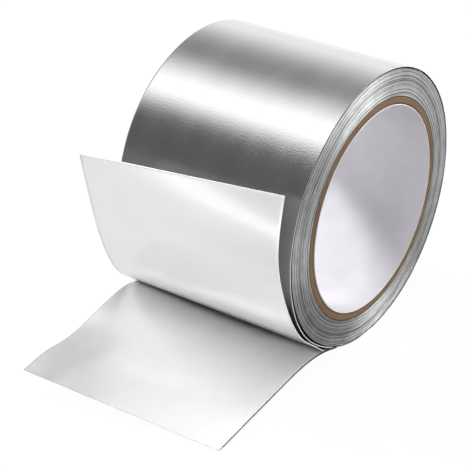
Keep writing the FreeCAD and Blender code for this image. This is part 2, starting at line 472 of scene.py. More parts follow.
class Recipe:
    """The node tree of one finish: a Principled shader and the nodes that feed it."""

    def __init__(self, name: str) -> None:
        """Start a material with nothing but its shader and its output.

        Args:
            name: name of the material.
        """
        self.material = bpy.data.materials.new(name)
        self.material.use_nodes = True
        self.tree = self.material.node_tree
        self.tree.nodes.clear()
        self.output = self.tree.nodes.new("ShaderNodeOutputMaterial")
        self.shader = self.tree.nodes.new("ShaderNodeBsdfPrincipled")
        self.tree.links.new(self.shader.outputs[0], self.output.inputs[0])

    @classmethod
    def of_world(cls, world: bpy.types.World) -> "Recipe":
        """The empty node tree of a world, with nothing but its output.

        Args:
            world: the world.

        Returns:
            The recipe, which has no shader and no material.
        """
        recipe = cls.__new__(cls)
        world.use_nodes = True
        recipe.tree = world.node_tree
        recipe.tree.nodes.clear()
        recipe.output = recipe.tree.nodes.new("ShaderNodeOutputWorld")
        return recipe

    def node(self, kind: str, inputs: dict[str | int, object], **settings: object) -> bpy.types.Node:
        """Add a node.

        Args:
            kind: its type.
            inputs: value or socket for each named or numbered input.
            settings: its own properties.

        Returns:
            The node.
        """
        made = self.tree.nodes.new(kind)
        for key, value in settings.items():
            setattr(made, key, value)
        for key, value in inputs.items():
            if isinstance(value, Socket):
                self.tree.links.new(value, made.inputs[key])
            else:
                made.inputs[key].default_value = value
        return made

    def object_place(self) -> Socket:
        """Where a point is in the row frame, in metres."""
        return self.node("ShaderNodeTexCoord", {}).outputs["Object"]

    def unrolled_place(self) -> Socket:
        """Where a point is on the unrolled piece, in metres."""
        return self.node("ShaderNodeUVMap", {}, uv_map="unrolled").outputs["UV"]

    def grain(
        self,
        place: Socket,
        size: float,
        stretch: tuple[float, float, float] = (1.0, 1.0, 1.0),
        detail: float = 2.0,
        roughness: float = 0.5,
    ) -> Socket:
        """A noise in spots.

        Args:
            place: where it is read, in metres.
            size: size of the spots, in millimetres.
            stretch: how much longer they are along each axis.
            detail: number of finer layers.
            roughness: weight of each finer layer.

        Returns:
            The noise, mostly between 0.3 and 0.7.
        """
        scale = tuple(1.0 / (size * MM * s) for s in stretch)
        mapping = self.node("ShaderNodeMapping", {"Vector": place, "Scale": scale})
        noise = self.node(
            "ShaderNodeTexNoise",
            {
                "Vector": mapping.outputs[0],
                "Scale": 1.0,
                "Detail": detail,
                "Roughness": roughness,
            },
        )
        return noise.outputs["Fac"]

    def rings(self, radius: Socket, size: float, detail: float) -> Socket:
        """A noise in rings: it changes with the distance from the axis alone.

        Args:
            radius: distance from the axis, in metres.
            size: distance from ring to ring, in millimetres.
            detail: number of finer layers.

        Returns:
            The noise, mostly between 0.3 and 0.7.
        """
        turns = self.maths("MULTIPLY", radius, 1 / (size * MM))
        noise = self.node(
            "ShaderNodeTexNoise", {"W": turns, "Scale": 1.0, "Detail": detail}, noise_dimensions="1D"
        )
        return noise.outputs["Fac"]

    def axis_distance(self, place: Socket) -> Socket:
        """Distance of a place from the roll's axis, in metres."""
        flat = self.node("ShaderNodeVectorMath", {0: place, 1: (1.0, 0.0, 1.0)}, operation="MULTIPLY")
        return self.node("ShaderNodeVectorMath", {0: flat.outputs[0]}, operation="LENGTH").outputs["Value"]

    def spread(
        self, value: Socket, low: float, high: float, start: float = 0.3, end: float = 0.7
    ) -> Socket:
        """Carry a value from the range start to end over to the range low to high, and no further."""
        sockets = {"Value": value, "From Min": start, "From Max": end, "To Min": low, "To Max": high}
        return self.node("ShaderNodeMapRange", sockets).outputs[0]

    def maths(self, operation: str, first: Socket | float, second: Socket | float = 0.0) -> Socket:
        """What an operation of the Math node makes of one value or two."""
        return self.node("ShaderNodeMath", {0: first, 1: second}, operation=operation).outputs[0]

    def colours(self, value: Socket, stops: list[tuple[float, Colour]]) -> Socket:
        """A colour that passes through the stops as the value rises.

        Args:
            value: the value.
            stops: value and colour of each stop.

        Returns:
            The colour.
        """
        ramp = self.node("ShaderNodeValToRGB", {"Fac": value})
        elements = ramp.color_ramp.elements
        while len(elements) < len(stops):
            elements.new(0.5)
        for element, (position, colour) in zip(elements, stops):
            element.position = position
            element.color = (*colour, 1.0)
        return ramp.outputs[0]

    def backdrop_ray(self, path: bpy.types.Node) -> Socket:
        """1 for a ray that the camera sends, straight or through glass, by a Light Path node."""
        return self.maths("MAXIMUM", path.outputs["Is Camera Ray"], path.outputs["Is Transmission Ray"])

    def blend(self, share: Socket | float, first: Socket | Colour, second: Socket | Colour) -> Socket:
        """A colour between two others.

        Args:
            share: share of the second colour.
            first: the first colour.
            second: the second colour.

        Returns:
            The colour.
        """
        made = self.node("ShaderNodeMix", {0: share}, data_type="RGBA")
        for number, value in ((6, first), (7, second)):
            if isinstance(value, Socket):
                self.tree.links.new(value, made.inputs[number])
            else:
                made.inputs[number].default_value = (*value, 1.0)
        return made.outputs[2]

    def relief(self, height: Socket, depth: float, under: Socket | None = None) -> Socket:
        """Bump the surface.

        Args:
            height: height of the bumps, from 0 to 1.
            depth: millimetres that a height of 1 stands for.
            under: normal of the relief that this one lies on.

        Returns:
            The normal.
        """
        sockets: dict[str | int, object] = {"Height": height, "Distance": depth * MM, "Strength": 1.0}
        if under is not None:
            sockets["Normal"] = under
        return self.node("ShaderNodeBump", sockets).outputs[0]

    def dress(self, **sockets: object) -> bpy.types.Material:
        """Feed the shader's sockets and hand the material over.

        Args:
            sockets: value or socket for each input of the shader, an underscore standing for a space.

        Returns:
            The material.
        """
        for key, value in sockets.items():
            socket = self.shader.inputs[key.replace("_", " ")]
            if isinstance(value, Socket):
                self.tree.links.new(value, socket)
            elif isinstance(value, tuple):
                socket.default_value = (*value, 1.0)
            else:
                socket.default_value = value
        return self.material


@dataclass(frozen=True)
class RolledFoil:
    """The bright outer face of aluminium foil: rolling lines, chatter marks and a satin grain.

    Attributes:
        name: name of the material.
        colour: what it mirrors where it is cleanest.
        shaded: the same where it is dullest.
        roughness: its middle roughness.
    """

    name: str = "rolled_foil"
    colour: Colour = (0.90, 0.905, 0.90)
    shaded: Colour = (0.86, 0.865, 0.865)
    roughness: float = 0.21

    def material(self) -> bpy.types.Material:
        """Metal whose rolling lines run along the tape, crossed by short chatter marks.

        Returns:
            The material.
        """
        recipe = Recipe(self.name)
        place = recipe.unrolled_place()
        lines = recipe.grain(place, 0.16, (220.0, 1.0, 1.0), 2.0)
        chatter = recipe.grain(place, 0.6, (1.0, 2.2, 1.0), 2.0)
        speckle = recipe.grain(place, 0.65, (1.0, 0.9, 1.0), 2.0, 0.6)
        cloud = recipe.grain(place, 9.0, (2.5, 1.0, 1.0), 3.0)
        tint = recipe.colours(recipe.spread(cloud, 0.0, 1.0), [(0.0, self.shaded), (1.0, self.colour)])
        rough = recipe.maths(
            "ADD",
            recipe.spread(speckle, self.roughness - 0.03, self.roughness + 0.04),
            recipe.spread(cloud, -0.02, 0.02),
        )
        relief = recipe.relief(lines, 0.0022)
        relief = recipe.relief(chatter, 0.012, relief)
        relief = recipe.relief(speckle, 0.034, relief)
        return recipe.dress(Base_Color=tint, Metallic=1.0, Roughness=rough, Normal=relief)


@dataclass(frozen=True)
class AdhesiveSide:
    """The inner face of the tape: foil dulled by its coat of clear adhesive.

    Attributes:
        colour: what it mirrors where the coat is thin.
        shaded: the same where the coat is thick.
        roughness: its middle roughness.
    """

    colour: Colour = (0.96, 0.96, 0.95)
    shaded: Colour = (0.90, 0.90, 0.89)
    roughness: float = 0.37

    def material(self) -> bpy.types.Material:
        """Dull metal with soft clouds in the coat and a fine orange-peel.

        Returns:
            The material.
        """
        recipe = Recipe("adhesive_side")
        place = recipe.unrolled_place()
        cloud = recipe.grain(place, 14.0, (1.4, 1.0, 1.0), 3.0, 0.55)
        peel = recipe.grain(place, 0.9, detail=2.0)
        dent = recipe.grain(place, 7.0, (1.0, 1.8, 1.0), 2.0)
        tint = recipe.colours(recipe.spread(cloud, 0.0, 1.0), [(0.0, self.shaded), (1.0, self.colour)])
        rough = recipe.spread(cloud, self.roughness + 0.05, self.roughness - 0.04)
        relief = recipe.relief(dent, 0.06)
        relief = recipe.relief(peel, 0.02, relief)
        return recipe.dress(Base_Color=tint, Metallic=0.9, Roughness=rough, Normal=relief)


@dataclass(frozen=True)
class CutFoil:
    """The slit edge of the tape: foil and adhesive, clean on the roll and near-black on the tail, where
    the dark is painted shade.

    Attributes:
        name: name of the material.
        colour: its colour between the shear marks, which are a fifth darker.
        metallic: how much of it is bare metal.
    """

    name: str
    colour: Colour
    metallic: float

    def material(self) -> bpy.types.Material:
        """A thin edge with short shear marks across it.

        Returns:
            The material.
        """
        recipe = Recipe(self.name)
        place = recipe.unrolled_place()
        marks = recipe.grain(place, 0.25, (1.0, 6.0, 1.0), 2.0)
        darker = tuple(0.8 * c for c in self.colour)
        tint = recipe.blend(recipe.spread(marks, 0.0, 1.0), darker, self.colour)
        relief = recipe.relief(marks, 0.01)
        return recipe.dress(Base_Color=tint, Metallic=self.metallic, Roughness=0.45, Normal=relief)


@dataclass(frozen=True)
class TurnEdges:
    """The end of the roll: the edges of all the turns, foil and liner in turn.

    Attributes:
        inside: radius where the turns begin, in millimetres.
        foil: colour of a foil edge.
        liner: colour of the shaded liner between two of them.
        bright: colour of a foil edge that is burnished.
    """

    inside: float
    foil: Colour = (0.84, 0.86, 0.85)
    liner: Colour = (0.30, 0.31, 0.31)
    bright: Colour = (0.97, 0.98, 0.97)

    def material(self) -> bpy.types.Material:
        """Fine rings about the axis that wander a little, lighter and darker in bundles.

        The tone adds up from fine rings, bundles of them, patches, thin dark lines where the
        noise of the rings crosses its middle, and a pale edge beside the core.

        Returns:
            The material.
        """
        recipe = Recipe("turn_edges")
        place = recipe.object_place()
        drift = recipe.spread(recipe.grain(place, 22.0, detail=1.0), -0.35 * MM, 0.35 * MM)
        radius = recipe.maths("ADD", recipe.axis_distance(place), drift)
        fine = recipe.rings(radius, 0.6, 2.0)
        bundle = recipe.rings(radius, 2.1, 1.0)
        broken = recipe.grain(place, 5.0, detail=3.0)
        crack = recipe.maths("ABSOLUTE", recipe.maths("SUBTRACT", recipe.rings(radius, 0.55, 0.0), 0.5))
        mixed = recipe.maths("ADD", recipe.spread(fine, -0.1, 0.75), recipe.spread(bundle, 0.0, 0.3))
        mixed = recipe.maths("ADD", mixed, recipe.spread(broken, -0.12, 0.12))
        mixed = recipe.maths("ADD", mixed, recipe.spread(crack, -0.5, 0.05, 0.0, 0.14))
        start = self.inside * MM
        mixed = recipe.maths("ADD", mixed, recipe.spread(radius, 0.3, 0.0, start, start + 0.9 * MM))
        tint = recipe.colours(mixed, [(0.08, self.liner), (0.42, self.foil), (0.8, self.bright)])
        relief = recipe.relief(fine, 0.06)
        turning = recipe.node("ShaderNodeTangent", {}, direction_type="RADIAL", axis="Y")
        recipe.dress(Anisotropic=0.9, Anisotropic_Rotation=0.25, Tangent=turning.outputs[0])
        return recipe.dress(Base_Color=tint, Metallic=0.95, Roughness=0.38, Normal=relief)


@dataclass(frozen=True)
class ReleasePaper:
    """Coated release paper: smooth and slightly see-through.

    Attributes:
        name: name of the material.
        colour: colour of the paper.
        roughness: its middle roughness.
        through: share of the light that comes through from behind.
        coat: how much of it a glossy coat covers.
    """

    name: str
    colour: Colour
    roughness: float
    through: float = 0.06
    coat: float = 0.0

    def material(self) -> bpy.types.Material:
        """Paper with a faint fibre cloud; some of the light behind it comes through.

        Returns:
            The material.
        """
        recipe = Recipe(self.name)
        place = recipe.unrolled_place()
        fibre = recipe.grain(place, 1.3, (1.5, 1.0, 1.0), 4.0, 0.6)
        cloud = recipe.grain(place, 11.0, detail=2.0)
        darker = tuple(0.97 * c for c in self.colour)
        mixed = recipe.maths("ADD", recipe.spread(fibre, 0.0, 0.5), recipe.spread(cloud, 0.0, 0.5))
        tint = recipe.blend(mixed, darker, self.colour)
        rough = recipe.spread(fibre, self.roughness - 0.03, self.roughness + 0.04)
        relief = recipe.relief(fibre, 0.006)
        recipe.dress(Base_Color=tint, Roughness=rough, Normal=relief, IOR=1.5)
        recipe.dress(Coat_Weight=self.coat, Coat_Roughness=0.2, Coat_IOR=2.0)
        glow = recipe.node("ShaderNodeBsdfTranslucent", {"Color": tint})
        mix = recipe.node(
            "ShaderNodeMixShader", {0: self.through, 1: recipe.shader.outputs[0], 2: glow.outputs[0]}
        )
        recipe.tree.links.new(mix.outputs[0], recipe.output.inputs[0])
        return recipe.material


@dataclass(frozen=True)
class KraftBoard:
    """Grey-brown core board: plies of pressed fibre.

    Attributes:
        inside: radius of the board's inner rim, in millimetres.
        outside: radius of its outer rim.
        light: its usual colour.
        dark: colour of the joints between plies, and of the painted shade at the rims.
        palest: colour of the palest fibres.
    """

    inside: float
    outside: float
    light: Colour = (0.225, 0.138, 0.08)
    dark: Colour = (0.075, 0.05, 0.032)
    palest: Colour = (0.31, 0.22, 0.14)

    def material(self) -> bpy.types.Material:
        """Matt brown with specks and the lines between the plies, with painted shade at both its rims.

        Returns:
            The material.
        """
        recipe = Recipe("kraft_board")
        place = recipe.object_place()
        radius = recipe.axis_distance(place)
        ply = recipe.rings(radius, 0.45, 1.0)
        middle, half = (self.inside + self.outside) / 2 * MM, (self.outside - self.inside) / 2 * MM
        away = recipe.maths("ABSOLUTE", recipe.maths("SUBTRACT", radius, middle))
        # Painted shade: the board darkens towards both rims, where it meets the lining and the turns.
        rim = recipe.spread(away, 0.05, -0.9, half - 0.6 * MM, half - 0.15 * MM)
        speck = recipe.grain(place, 0.6, detail=4.0, roughness=0.7)
        cloud = recipe.grain(place, 6.0, detail=2.0)
        mixed = recipe.maths("ADD", recipe.spread(ply, 0.0, 0.45), recipe.spread(speck, 0.0, 0.4))
        mixed = recipe.maths("ADD", mixed, recipe.spread(cloud, 0.0, 0.15))
        mixed = recipe.maths("ADD", mixed, rim)
        tint = recipe.colours(mixed, [(0.0, self.dark), (0.4, self.light), (1.0, self.palest)])
        relief = recipe.relief(mixed, 0.1)
        return recipe.dress(Base_Color=tint, Roughness=0.85, Normal=relief, Specular_IOR_Level=0.3)


@dataclass(frozen=True)
class LiningPaper:
    """Glazed white paper of the bore, a little cool in colour.

    Attributes:
        colour: its colour between the clouds, which are a little darker.
    """

    colour: Colour = (0.63, 0.62, 0.65)

    def material(self) -> bpy.types.Material:
        """Glazed paper with a fine fibre, faint clouds and shallow pressing marks.

        Returns:
            The material.
        """
        recipe = Recipe("lining_paper")
        place = recipe.unrolled_place()
        fibre = recipe.grain(place, 1.0, (2.0, 1.0, 1.0), 4.0, 0.6)
        cloud = recipe.grain(place, 8.0, detail=2.0)
        darker = tuple(0.95 * c for c in self.colour)
        tint = recipe.blend(recipe.spread(cloud, 0.0, 1.0), darker, self.colour)
        rough = recipe.spread(fibre, 0.34, 0.42)
        relief = recipe.relief(fibre, 0.003)
        relief = recipe.relief(cloud, 0.04, relief)
        return recipe.dress(Base_Color=tint, Roughness=rough, Normal=relief)


@dataclass(frozen=True)
class CutPaper:
    """The cut edge of paper, a little fuzzy.

    Attributes:
        name: name of the material.
        colour: its colour between the fibre specks.
    """

    name: str
    colour: Colour = (0.88, 0.86, 0.82)

    def material(self) -> bpy.types.Material:
        """Matt pale paper with fibre specks.

        Returns:
            The material.
        """
        recipe = Recipe(self.name)
        place = recipe.object_place()
        fibre = recipe.grain(place, 0.3, detail=4.0, roughness=0.7)
        darker = tuple(0.85 * c for c in self.colour)
        tint = recipe.blend(recipe.spread(fibre, 0.0, 1.0), darker, self.colour)
        relief = recipe.relief(fibre, 0.03)
        return recipe.dress(Base_Color=tint, Roughness=0.8, Normal=relief)


# ---------------------------------------------------------------- the tape


@dataclass(frozen=True)
class EdgeLine:
    """One long edge of a peeled sheet, as stations that a smooth line passes.

    Attributes:
        runs: distances towards -X from the root of the tail.
        lifts: heights above the floor.
    """

    runs: tuple[float, ...]
    lifts: tuple[float, ...]

    def stations(self, root: np.ndarray, seat: float) -> np.ndarray:
        """The root and the stations after it, as x and z, where seat is the height of lift 0."""
        after = np.stack([root[0] - np.array(self.runs), seat + np.array(self.lifts)], axis=-1)
        return np.concatenate([root[None, :], after])


@dataclass
class OuterTape:
    """The outermost turn of tape with the peeled tail that leaves it.

    One strip: from the tail's cut end up to the root at the foot of the roll, then once round
    the roll, slack beside the tail and close elsewhere, down one pitch by the time it ends. Its
    front is the bright face, which is outside on the roll and underneath on the tail.

    Attributes:
        sizes: sizes of the roll.
        near: near edge of the tail.
        far: far edge of the tail.
        bump: run from the root to the middle of the kink in the tail's far edge, and half its length.
        bump_lift: how far the kink is bent up.
        bump_aside: how far it is bent out sideways.
        reach: length of the tail that its dents and ripples are laid out on.
        dents: depth of the soft dents of the handled tail.
        dent_waves: longest and shortest wavelength of them.
        dent_seed: seed of their random draw.
        dented: distances from the near edge between which they grow.
        grown: lengths from the root between which they grow as well.
        ripple: height of the ripple of the tail's far edge.
        rippled: lengths from the root between which it grows.
        crumple: height of the creases in the tail's far corner.
        tail_rows: rows of the grid on the tail.
        turn_rows: rows of the grid on the turn.
        columns: columns of the grid across the tape.
        turned: degrees round the roll from the root to where the turn ends.
        swellings: where the turn stands off the roll: middle and half width in degrees, and height.
        proud_edge: how far the turn stands out of both ends of the roll.
        stray: heights of the slow and the quick wave by which its edges stray sideways.
        stray_length: length along the strip over which each wave turns by one radian.
        burr: height of the burr along the slit edges.
        burr_width: distances from an edge between which the burr runs out.
        turned_down: how far the turn's far edge is bent in.
        turned_width: width of the strip that is bent in.
    """

    sizes: RollSizes
    near: EdgeLine = EdgeLine((16.4, 37.0, 56.0, 70.2), (7.25, 5.2, 2.3, 0.0))
    far: EdgeLine = EdgeLine((25.4, 49.0, 83.7), (16.1, 12.0, 7.9))
    bump: tuple[float, float] = (72.5, 13.0)
    bump_lift: float = 0.5
    bump_aside: float = 0.7
    reach: float = 78.0
    dents: float = 0.15
    dent_waves: tuple[float, float] = (42.0, 14.0)
    dent_seed: int = 7
    dented: tuple[float, float] = (2.0, 22.0)
    grown: tuple[float, float] = (14.0, 40.0)
    ripple: float = 0.06
    rippled: tuple[float, float] = (20.0, 46.0)
    crumple: float = 0.05
    tail_rows: int = 170
    turn_rows: int = 300
    columns: int = 84
    turned: float = 357.0
    swellings: tuple[tuple[float, float, float], ...] = (
        (57.0, 33.0, 0.72),
        (92.0, 60.0, 0.55),
        (165.0, 50.0, 0.1),
        (318.0, 36.0, 0.2),
    )
    proud_edge: float = 0.14
    stray: tuple[float, float] = (0.05, 0.03)
    stray_length: tuple[float, float] = (17.0, 6.3)
    burr: float = 0.24
    burr_width: tuple[float, float] = (0.1, 0.42)
    turned_down: float = 0.22
    turned_width: float = 0.42

    def root(self) -> np.ndarray:
        """Where the middle of the tape leaves the roll, as x and z."""
        return polar(np.array(self.sizes.root_angle), np.array(self.sizes.outside - self.sizes.foil / 2))

    def start_slope(self) -> np.ndarray:
        """Unit direction of the roll's surface at the root, towards the tail's end."""
        turn = math.radians(self.sizes.root_angle)
        return np.array([-math.cos(turn), math.sin(turn)])

    def tail_middle(self, shares: np.ndarray, across: np.ndarray) -> np.ndarray:
        """The tail's middle surface: a straight line across between its two edge lines.

        The soft dents of the handled foil, the ripple of its far edge, the kink of that edge and
        the creases of the far corner are added upwards, growing from nothing at the root.

        Args:
            shares: (rows,) parameter along the tail, 0 at the root and 1 at its cut end.
            across: (columns,) share of the width, 0 at the near edge and 1 at the far one.

        Returns:
            (rows, columns, 2) x and z.
        """
        root = self.root()
        seat = self.sizes.floor + self.sizes.foil / 2
        near = spline_through(self.near.stations(root, seat), shares, self.start_slope())
        far = spline_through(self.far.stations(root, seat), shares, self.start_slope())
        weight = across[None, :, None]
        surface = near[:, None, :] * (1 - weight) + far[:, None, :] * weight
        along = shares[:, None] * self.reach
        place = across[None, :] * self.sizes.width
        free = ease(place, *self.dented) * ease(along, *self.grown)
        uneven = soft_noise(along + 0 * place, place + 0 * along, *self.dent_waves, self.dent_seed)
        dents = self.dents * uneven * free
        from_far = self.sizes.width - place
        edge = np.exp(-from_far / 5.0) * ease(along, *self.rippled)
        ripple = self.ripple * np.sin(along / 3.1 + 0.8 * np.sin(along / 7.0)) * edge
        bump = hump(root[0] - far[:, :1], *self.bump, self.bump_lift) * np.exp(-from_far / 24.0)
        corner = np.exp(-((self.reach - along) ** 2 + from_far**2) / 60.0)
        crumple = self.crumple * np.sin(along * 1.1 + place * 0.55) * corner
        surface[..., 1] += dents + ripple + bump + crumple
        return surface

    def standoff(self, angle: np.ndarray) -> np.ndarray:
        """How much further out the turn lies than a tight one: the sum of its swellings.

        It is slack beside the tail, and a little lifted over the top and at the foot.

        Args:
            angle: degrees from straight down towards -X.

        Returns:
            The standoff at each angle, in millimetres.
        """
        return np.sum([hump(angle % 360, *swelling) for swelling in self.swellings], axis=0)

    def turn_middle(self, unwound: np.ndarray) -> np.ndarray:
        """The middle line of the outermost turn.

        Radius = outside - half the foil - pitch * unwound / 360 + standoff, and no lower than
        the floor allows.

        Args:
            unwound: degrees from the root, back round the roll.

        Returns:
            (len(unwound), 2) x and z.
        """
        sizes = self.sizes
        angle = sizes.root_angle - unwound
        radius = sizes.outside - sizes.foil / 2 - sizes.pitch * unwound / 360 + self.standoff(angle)
        return polar(angle, above_floor(radius, angle, -sizes.floor - sizes.foil / 2))

    def wander(self, along: np.ndarray) -> np.ndarray:
        """How far the edges stray sideways: a slow sine of the length along and a quick, lower one.

        Args:
            along: (rows,) length along the strip at each row.

        Returns:
            (rows,) distances in millimetres.
        """
        slow, quick = self.stray_length
        return self.stray[0] * np.sin(along / slow) + self.stray[1] * np.sin(along / quick + 1.0)

    def middle(self) -> tuple[np.ndarray, np.ndarray]:
        """The whole strip's middle surface and the length along it at each row.

        Past the root, the edges stand proud of the roll's ends and wander, and the far edge is
        bent in, by a square law over its width. On the tail, the kink pushes the far edge aside.

        Returns:
            (rows, columns, 3) points in millimetres, and (rows,) lengths.
        """
        across = across_shares(self.columns, self.sizes.width)
        shares = np.linspace(1, 0, self.tail_rows)[:-1]
        tail = self.tail_middle(shares, across)
        turn = self.turn_middle(np.linspace(0, self.turned, self.turn_rows))
        turn = np.broadcast_to(turn[:, None, :], (self.turn_rows, self.columns, 2))
        plane = np.concatenate([tail, turn])
        steps = np.linalg.norm(np.diff(plane[:, 0], axis=0), axis=1)
        along = np.concatenate([[0], np.cumsum(steps)])
        wander = self.wander(along)
        width = self.sizes.width
        place = (across[None, :] - 0.5) * width + np.zeros((len(along), 1))
        root = along[self.tail_rows - 1]
        on_roll = ease(along, root - 4, root + 20)
        place[:, 0] -= (self.proud_edge + wander) * on_roll
        place[:, -1] += (self.proud_edge - wander) * on_roll
        run = plane[0, -1, 0] + self.far.runs[-1] - plane[:, -1:, 0]
        from_far = (1 - across[None, :]) * width
        aside = hump(run, *self.bump, self.bump_aside) * np.exp(-from_far / 14.0)
        place += aside * (1 - on_roll[:, None])
        bent = 1 - np.clip(from_far / self.turned_width, 0, 1)
        drop = self.turned_down * bent**2 * on_roll[:, None]
        plane = plane * (1 - drop / self.sizes.outside)[..., None]
        return np.stack([plane[..., 0], place, plane[..., 1]], axis=-1), along

    def burrs(self, along: np.ndarray) -> np.ndarray:
        """The burrs along the slit edges.

        The front has one under the tail's near edge, nearly twice as high as the others. The back
        has one along the near edge, apart from the stretch that is pressed flat beside the liner
        and over the top, and one along the far edge of the turn.

        Args:
            along: (rows,) length along the strip at each row.

        Returns:
            (2, rows, columns) heights on the front and on the back.
        """
        across = across_shares(self.columns, self.sizes.width)
        from_sides = np.stack([across, 1 - across]) * self.sizes.width
        near, far = self.burr * (1 - ease(from_sides, *self.burr_width))
        root = along[self.tail_rows - 1]
        on_roll = ease(along, root - 4, root + 4)[:, None]
        round_roll = (along - root) / (along[-1] - root)
        lifted = 1 - ease(round_roll, 0.12, 0.22) * (1 - ease(round_roll, 0.68, 0.8))
        return np.stack([1.8 * near * (1 - on_roll), near * lifted[:, None] + far * on_roll])

    def paint_edge_shade(self, finishes: np.ndarray) -> None:
        """Paint shade along the tail: its cut edges and a thin line beside the far one on its upper face
        go near-black.

        Args:
            finishes: the finish of each quad of the strip, which is changed in place.
        """
        loop = 2 * self.columns
        tail = finishes[:(self.tail_rows - 1) * loop].reshape(-1, loop)
        tail[tail == Face.CUT] = Face.PAINTED_SHADE
        tail[:, self.columns] = Face.PAINTED_SHADE
        end = self.columns - 1
        finishes[-2 * end:-end] = Face.PAINTED_SHADE

    def build(self) -> bpy.types.Object:
        """Make the strip and dress its two faces, its edges on the roll and those of the tail, which wear
        painted shade.

        Returns:
            The piece.
        """
        middle, along = self.middle()
        shell = sheet_shell(middle, self.sizes.foil, along, self.burrs(along))
        shell.points[:, 2] = np.maximum(shell.points[:, 2], self.sizes.floor)
        self.paint_edge_shade(shell.finishes)
        finishes = [
            RolledFoil().material(),
            AdhesiveSide().material(),
            CutFoil("cut_edge", (0.93, 0.93, 0.93), 0.2).material(),
            # Near-black finish: painted shade along the tail's cut edges and beside its far edge.
            CutFoil("painted_shade_edge", (0.03, 0.03, 0.03), 0.0).material(),
        ]
        return shell.make("outer_tape", Slot.FOIL, finishes, "foil_tape")


@dataclass
class WoundTurns:
    """The turns under the outermost one, with every turn's edge modelled on both ends.

    Attributes:
        sizes: sizes of the roll.
        turns: number of turns modelled.
        rows: rows of the grid, round the roll.
        foil_edge: where the foil's edge begins and ends across one turn, as shares of it.
        liner_edge: where the liner's edge lies across it.
        recess: how far the liner's edge lies below the foil's.
        gap: gap under the outermost turn.
        wander: how far the edges stray in and out.
        bundle: number of turns over which neighbours stray together.
        own_share: how far one turn strays by itself, as a share of its bundle.
        waves: number of waves round the roll by which a turn strays, with the steady part.
        proud_turns: number of turns that stand clearly proud.
        proud_height: height by which they do.
        proud_span: least and greatest degrees from a proud stretch's middle to its foot.
        seed: seed of the random draw for the near end, one more for the far end.
    """

    sizes: RollSizes
    turns: int = 47
    rows: int = 312
    foil_edge: tuple[float, float] = (0.06, 0.5)
    liner_edge: float = 0.78
    recess: float = 0.07
    gap: float = 0.42
    wander: float = 0.065
    bundle: float = 0.9
    own_share: float = 0.16
    waves: int = 5
    proud_turns: int = 7
    proud_height: float = 0.08
    proud_span: tuple[float, float] = (40.0, 120.0)
    seed: int = 11

    def outside(self, angle: np.ndarray) -> np.ndarray:
        """Outer radius: a pitch and a gap below the last turn, and flat on the floor.

        Args:
            angle: degrees from straight down towards -X.

        Returns:
            The radius at each angle, in millimetres.
        """
        sizes = self.sizes
        unwound = (sizes.root_angle - angle) % 360
        radius = sizes.outside - sizes.pitch * (1 + unwound / 360) - self.gap
        return above_floor(radius, angle, -sizes.floor - sizes.pitch)

    def edge_heights(self, angle: np.ndarray, seed: int) -> np.ndarray:
        """How far each turn's foil stands out of the roll's end, at each angle.

        The turns stray together in bundles, each with a little of its own: a steady part and
        the first four waves round the roll, with heights that are drawn at random, fall with the
        number of the wave and are smoothed from turn to turn. A few turns stand clearly proud
        over part of the way round.

        Args:
            angle: (rows,) degrees round the roll.
            seed: seed of the random draw.

        Returns:
            (rows, turns) heights in millimetres.
        """
        draw = np.random.default_rng(seed)
        waves = np.arange(self.waves)
        turn = np.radians(angle)[:, None, None] * waves
        neighbours = np.arange(-4, 5)
        kernel = np.exp(-0.5 * (neighbours / self.bundle) ** 2)
        kernel /= kernel.sum()
        drawn = self.turns + len(neighbours) - 1
        basis = []
        for wave in (np.cos(turn), np.sin(turn)):
            heights = draw.normal(0, 1, (drawn, len(waves))) / (1 + waves)
            bundled = np.stack([np.convolve(heights[:, k], kernel, "valid") for k in waves], axis=-1)
            own = draw.normal(0, self.own_share, (self.turns, len(waves))) / (1 + waves)
            basis.append((wave * (bundled + own)[None]).sum(-1))
        proud = np.zeros((len(angle), self.turns))
        least, greatest = self.proud_span
        for _ in range(self.proud_turns):
            ring = draw.integers(3, self.turns - 2)
            middle = draw.random() * 360
            away = np.abs((angle - middle + 180) % 360 - 180)
            half = least + (greatest - least) * draw.random()
            proud[:, ring] += hump(away, 0.0, half, self.proud_height)
        return self.wander * (basis[0] + basis[1]) + proud

    def build(self) -> bpy.types.Object:
        """Make the wound body from its profile: near end, outside, far end and inside; the outside is
        painted dark as the shade under the outermost turn.

        The ends are shallow cones, as the core and the turns on it are pushed to the near end.

        Returns:
            The piece.
        """
        sizes = self.sizes
        angle = np.arange(self.rows) * 360 / self.rows
        outside = self.outside(angle)[:, None]
        inside = sizes.board_outside + 2 * HAIR
        steps = np.array([*self.foil_edge, self.liner_edge])
        share = ((np.arange(self.turns)[:, None] + steps) / self.turns).ravel()
        radius = inside + (outside - inside) * share[None, :]
        sunk = np.tile([0.0, 0.0, self.recess], self.turns)
        ends = []
        for number, side in enumerate((-1, 1)):
            height = np.repeat(self.edge_heights(angle, self.seed + number), len(steps), axis=1) - sunk
            ends.append(side * (sizes.width / 2 + height) - sizes.pushed * (1 - share))
        wall = np.linspace(-0.5, 0.5, 9) * sizes.width
        rim = np.broadcast_to(outside - HAIR, (self.rows, len(wall)))
        hole = np.full((self.rows, 2), inside)
        profile_radius = np.concatenate([radius, rim, radius[:, ::-1], hole], axis=1)
        profile_height = np.concatenate(
            [
                ends[0],
                np.broadcast_to(wall, rim.shape),
                ends[1][:, ::-1],
                np.broadcast_to(sizes.width * np.array([0.49, -0.49]), hole.shape),
            ],
            axis=1,
        )
        finishes = np.zeros(profile_radius.shape[1], dtype=int)
        # The outside wall wears the second finish, which is painted shade.
        finishes[len(share):len(share) + len(wall) - 1] = 1
        shell = turned_shell(profile_radius, profile_height, angle[:, None], finishes)
        # Dark foil on the outside wall: painted shade of the gap under the outermost turn.
        under = RolledFoil("painted_shade_under_turn", (0.16, 0.16, 0.16), (0.12, 0.12, 0.12), 0.5)
        materials = [TurnEdges(sizes.board_outside).material(), under.material()]
        return shell.make("wound_turns", Slot.FOIL, materials, "foil_tape", crease=60.0)


